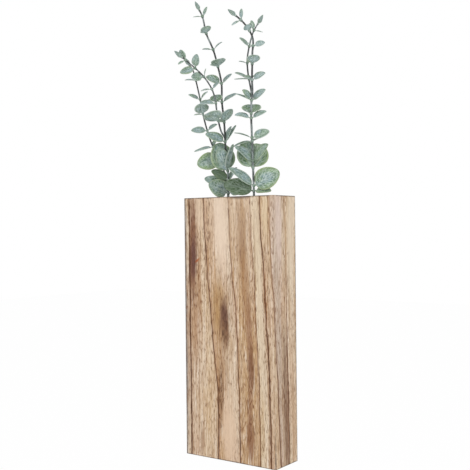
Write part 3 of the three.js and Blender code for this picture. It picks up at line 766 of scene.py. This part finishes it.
def add_blade(bm, layers, place, length, width, looks, dice, cup=LEAF_CUP, arch=LEAF_ARCH):
    """A leaf on a short stalk: a grid shaped to a cupped oval that lies along X, given its thickness."""
    uv, floats = layers
    known = set(bm.verts)
    rows = 12 if length < SMALL_LENGTH else 18
    columns = 6 if width < SMALL_WIDTH else 10
    bmesh.ops.create_grid(bm, x_segments=rows, y_segments=columns, size=0.5)
    sheet = [vert for vert in bm.verts if vert not in known]
    faces = list({face for vert in sheet for face in vert.link_faces})
    for face in faces:
        for loop in face.loops:
            loop[uv].uv = (loop.vert.co.x + 0.5, loop.vert.co.y + 0.5)
    phase, curl = dice.uniform(0, 6.28), dice.gauss(LEAF_CURL, LEAF_CURL_SPREAD)
    for vert in sheet:
        row = round((vert.co.x + 0.5) * rows)
        across = vert.co.y * 2
        sweep = math.pi * max(0, row - 0.6) / (rows - 0.6)
        share = (1 - math.cos(sweep)) / 2
        outline = width / 2 * math.sin(sweep) * (1 + LEAF_TAPER * math.cos(sweep))
        half = outline if share > 0.5 else max(STALK_WIDTH / 2, outline)
        along = STALK_LENGTH + (length - STALK_LENGTH) * share if row else 0
        lift = arch * length * 4 * share * (1 - share) + cup * half * across * across
        lift += LEAF_RIPPLE * half * share * across * across * math.sin(8 * share + phase + 1.6 * across)
        lift += curl * max(0, share - 0.5) ** 2 * length
        vert.co = (along, half * across, lift)
    bmesh.ops.remove_doubles(bm, verts=sheet, dist=0.005)
    faces = [face for face in bm.faces if known.isdisjoint(face.verts)]
    bmesh.ops.recalc_face_normals(bm, faces=faces)
    bmesh.ops.solidify(bm, geom=faces, thickness=LEAF_THICKNESS)
    verts = [vert for vert in bm.verts if vert not in known]
    faces = list({face for vert in verts for face in vert.link_faces})
    bmesh.ops.recalc_face_normals(bm, faces=faces)
    for face in faces:
        face.normal_update()
        face[floats["upper"]] = float(face.normal.z > 0)
    mark(faces, floats, looks, dice)
    bmesh.ops.transform(bm, matrix=place, verts=verts)


# The sleeve's section: how far out from the stem, and how high as a share of its height
SLEEVE_OUTLINE = [(0, -0.5), (0.1, -0.5), (0.4, -0.2), (0.4, 0.2), (0.1, 0.5), (0, 0.5)]
SLEEVE_SIDES = 14
SLEEVE_RUNOUT = 1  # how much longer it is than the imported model's collar
SLEEVE_MAP_PLACE = (0.2, 0.3)  # it takes its colour from this place of the leaf's map


def add_sleeve(bm, layers, bore, height, dice):
    """The moulded sleeve that holds a whorl's leaves on the stem. It thins out at both ends."""
    uv, floats = layers
    known = set(bm.verts)
    verts = [bm.verts.new((bore + out, 0, height * up)) for out, up in SLEEVE_OUTLINE]
    edges = [bm.edges.new((a, b)) for a, b in zip(verts, verts[1:] + verts[:1])]
    turned = {"cent": (0, 0, 0), "axis": (0, 0, 1), "angle": 2 * math.pi, "steps": SLEEVE_SIDES}
    bmesh.ops.spin(bm, geom=verts + edges, use_merge=True, **turned)
    faces = [face for face in bm.faces if known.isdisjoint(face.verts)]
    bmesh.ops.recalc_face_normals(bm, faces=faces)
    mark(faces, floats, "sleeve", dice)
    for face in faces:
        for loop in face.loops:
            loop[uv].uv = SLEEVE_MAP_PLACE


BUD_LENGTH = 10  # of its core, from BUD_FOOT to BUD_TIP in radius
BUD_FOOT = 1.4
BUD_TIP = 0.2
BUD_LEAVES = 6  # every second one is an outer one
BUD_TURN = 20
BUD_CUP = 0.5
BUD_ARCH = -0.14


def add_bud(bm, layers, dice):
    """The bud at a branch's tip: small cupped leaves pressed together over a pointed core."""
    core = bmesh.ops.create_cone(
        bm, segments=12, radius1=BUD_FOOT, radius2=BUD_TIP, depth=BUD_LENGTH, cap_ends=True
    )
    bmesh.ops.translate(bm, vec=(0, 0, BUD_LENGTH / 2 + 0.2), verts=core["verts"])
    mark(list(bm.faces), layers[1], "bud", dice)
    for leaf in range(BUD_LEAVES):
        outer = leaf % 2
        opened = Matrix.Rotation(math.radians(-94 - 3 * outer), 4, "Y")
        outward = Matrix.Translation((0.9 + 0.4 * outer, 0, 0.2)) @ opened
        place = Matrix.Rotation(math.radians(360 / BUD_LEAVES * leaf + BUD_TURN), 4, "Z") @ outward
        size = (9.5, 5) if outer else (12, 3.4)
        add_blade(bm, layers, place, *size, "bud", dice, cup=BUD_CUP, arch=BUD_ARCH)


def add_whorl(bm, layers, stem_radius, leaves, dice):
    """A whorl about an upright stem: its sleeve, and its leaves turned from the first one's direction."""
    add_sleeve(bm, layers, stem_radius, COLLAR_HEIGHT + SLEEVE_RUNOUT, dice)
    for turn, length, width, opening, roll, looks in leaves:
        rolled = Matrix.Rotation(math.radians(roll), 4, "X")
        opened = Matrix.Rotation(math.radians(-opening), 4, "Y") @ rolled
        outward = Matrix.Translation((stem_radius, 0, 0)) @ opened
        place = Matrix.Rotation(math.radians(turn - leaves[0][0]), 4, "Z") @ outward
        add_blade(bm, layers, place, length - stem_radius, width, looks, dice)


def add_spray(body, mouth, branches, dice):
    """A spray in its place: one stem with its branches, a piece for each whorl and one for each bud."""
    stem = bmesh.new()
    for order, (branch, (points, whorls)) in enumerate(branches.items()):
        route = Route([mouth + Vector(point) for point in points])
        thick = BRANCH_STEM if order else MAIN_STEM
        swell = FORK_SWELL if order else 0.0

        def radius_at(share, ring):
            taper = STEM_FIT - STEM_TAPER * share + swell * max(0.0, 1 - 30 * share)
            return thick / 2 * taper * (1 + STEM_BUMPS * math.sin(2.1 * ring) * math.sin(0.7 * ring + order))

        add_stem(stem, route, radius_at)
        for number, (height, leaves) in enumerate(whorls, start=1):
            bm = bmesh.new()
            add_whorl(bm, mark_layers(bm), thick / 2, leaves, dice)
            point, up = route.at(route.share_at(mouth.z + height))
            bmesh.ops.transform(bm, matrix=seat(point, up, leaves[0][0]), verts=bm.verts)
            name = f"{branch}_frosted_leaves_{number:02d}"
            piece_from(bm, name, body, "leaf_plastic", leaf_plastic, f"{branch}_leaves_{number:02d}")

        bm = bmesh.new()
        add_bud(bm, mark_layers(bm), dice)
        point, up = route.at(route.spans)
        bmesh.ops.translate(bm, vec=(0, 0, COLLAR_FIT - BUD_SOCKET), verts=bm.verts)
        bmesh.ops.transform(bm, matrix=seat(point, up, 0), verts=bm.verts)
        piece_from(bm, f"{branch}_pressed_bud", body, "leaf_plastic", leaf_plastic, f"{branch}_bud")
    piece_from(stem, f"{body}_moulded_stem", body, "stem_plastic", stem_plastic, f"{body}_stem")


dice = random.Random(7)
add_spray("left_spray", LEFT_MOUTH, LEFT_BRANCHES, dice)
add_spray("right_spray", RIGHT_MOUTH, RIGHT_BRANCHES, dice)


# The studio: white all round, with one soft lamp at the front left and one at the right. Its sizes are in
# metres. The floor lies well below the vase, which hangs.

scene = bpy.context.scene
FLOOR_LEVEL = -0.45
FLOOR_REACH = 4
FLOOR_WHITE = 0.97  # how far the floor shows the background's white
DAYLIGHT = 0.72  # the strength of the white surroundings as a light


def seen_directly(add):
    """1 where the camera, a reflection or a clear material looks, and 0 where light only falls."""
    rays = add("LightPath").outputs
    seen = add("Math", (rays["Is Camera Ray"], rays["Is Glossy Ray"]), operation="MAXIMUM")
    return add("Math", (seen, rays["Is Transmission Ray"]), operation="MAXIMUM")


def bare_floor():
    """A matt white floor that shows the background's white and keeps a faint shadow."""
    material, add = new_material("matt_white_floor")
    share = add("Math", (seen_directly(add), FLOOR_WHITE), operation="MULTIPLY")
    matt = add("BsdfDiffuse", ("ffffff",))
    glow = add("Emission", ("ffffff", 1.0))
    add("OutputMaterial", (add("MixShader", (share, matt, glow)),))
    return material


def lay_floor():
    """The floor, which isn't part of the object."""
    bm = bmesh.new()
    bmesh.ops.create_grid(bm, x_segments=8, y_segments=8, size=FLOOR_REACH)
    bmesh.ops.translate(bm, vec=(0, 0, FLOOR_LEVEL), verts=bm.verts)
    mesh = bpy.data.meshes.new("studio_floor")
    bm.to_mesh(mesh)
    bm.free()
    studio_floor = bpy.data.objects.new("studio_floor", mesh)
    scene.collection.objects.link(studio_floor)
    dressed(studio_floor, bare_floor())


def white_surroundings():
    """White where it is seen, and a plain soft light otherwise."""
    world = bpy.data.worlds.new("white_studio")
    world.use_nodes = True
    world.node_tree.nodes.clear()
    add = partial(put, world.node_tree)
    strength = add("MapRange", (seen_directly(add), 0, 1, DAYLIGHT, 1.0))
    add("OutputWorld", (add("Background", ("ffffff", strength)),))
    return world


def soft_lamp(name, place, target, size, power):
    """A round area lamp that faces a target."""
    lamp = bpy.data.lights.new(name, "AREA")
    lamp.shape = "DISK"
    lamp.size = size
    lamp.energy = power
    holder = bpy.data.objects.new(name, lamp)
    holder.location = place
    holder.rotation_euler = (Vector(target) - Vector(place)).to_track_quat("-Z", "Y").to_euler()
    scene.collection.objects.link(holder)


lay_floor()
scene.world = white_surroundings()
soft_lamp("key_lamp", (-0.9, -1.9, 1.5), (0, 0, 0.05), 1.0, 12)
soft_lamp("side_lamp", (2.2, -1.0, 0.8), (0, 0, 0), 1.2, 16)

# The camera stands to the right of the vase, about level with the wall screw, and leans by half a degree
CAMERA_PLACE = (0.557956, -0.802967, 0.007764)
CAMERA_RIGHT = (0.81072, 0.58535, -0.01008)
CAMERA_UP = (0.00432, 0.01123, 0.99993)
CAMERA_BACK = (0.58542, -0.81070, 0.00658)
CAMERA_LENS = 63.786

camera_data = bpy.data.cameras.new("photo_camera")
camera_data.lens = CAMERA_LENS
camera_data.sensor_width = 36
camera_data.clip_start = 0.01
camera = bpy.data.objects.new("photo_camera", camera_data)
turned = Matrix((CAMERA_RIGHT, CAMERA_UP, CAMERA_BACK)).transposed().to_4x4()
camera.matrix_world = Matrix.Translation(CAMERA_PLACE) @ turned
scene.collection.objects.link(camera)
scene.camera = camera
scene.view_settings.view_transform = "Standard"
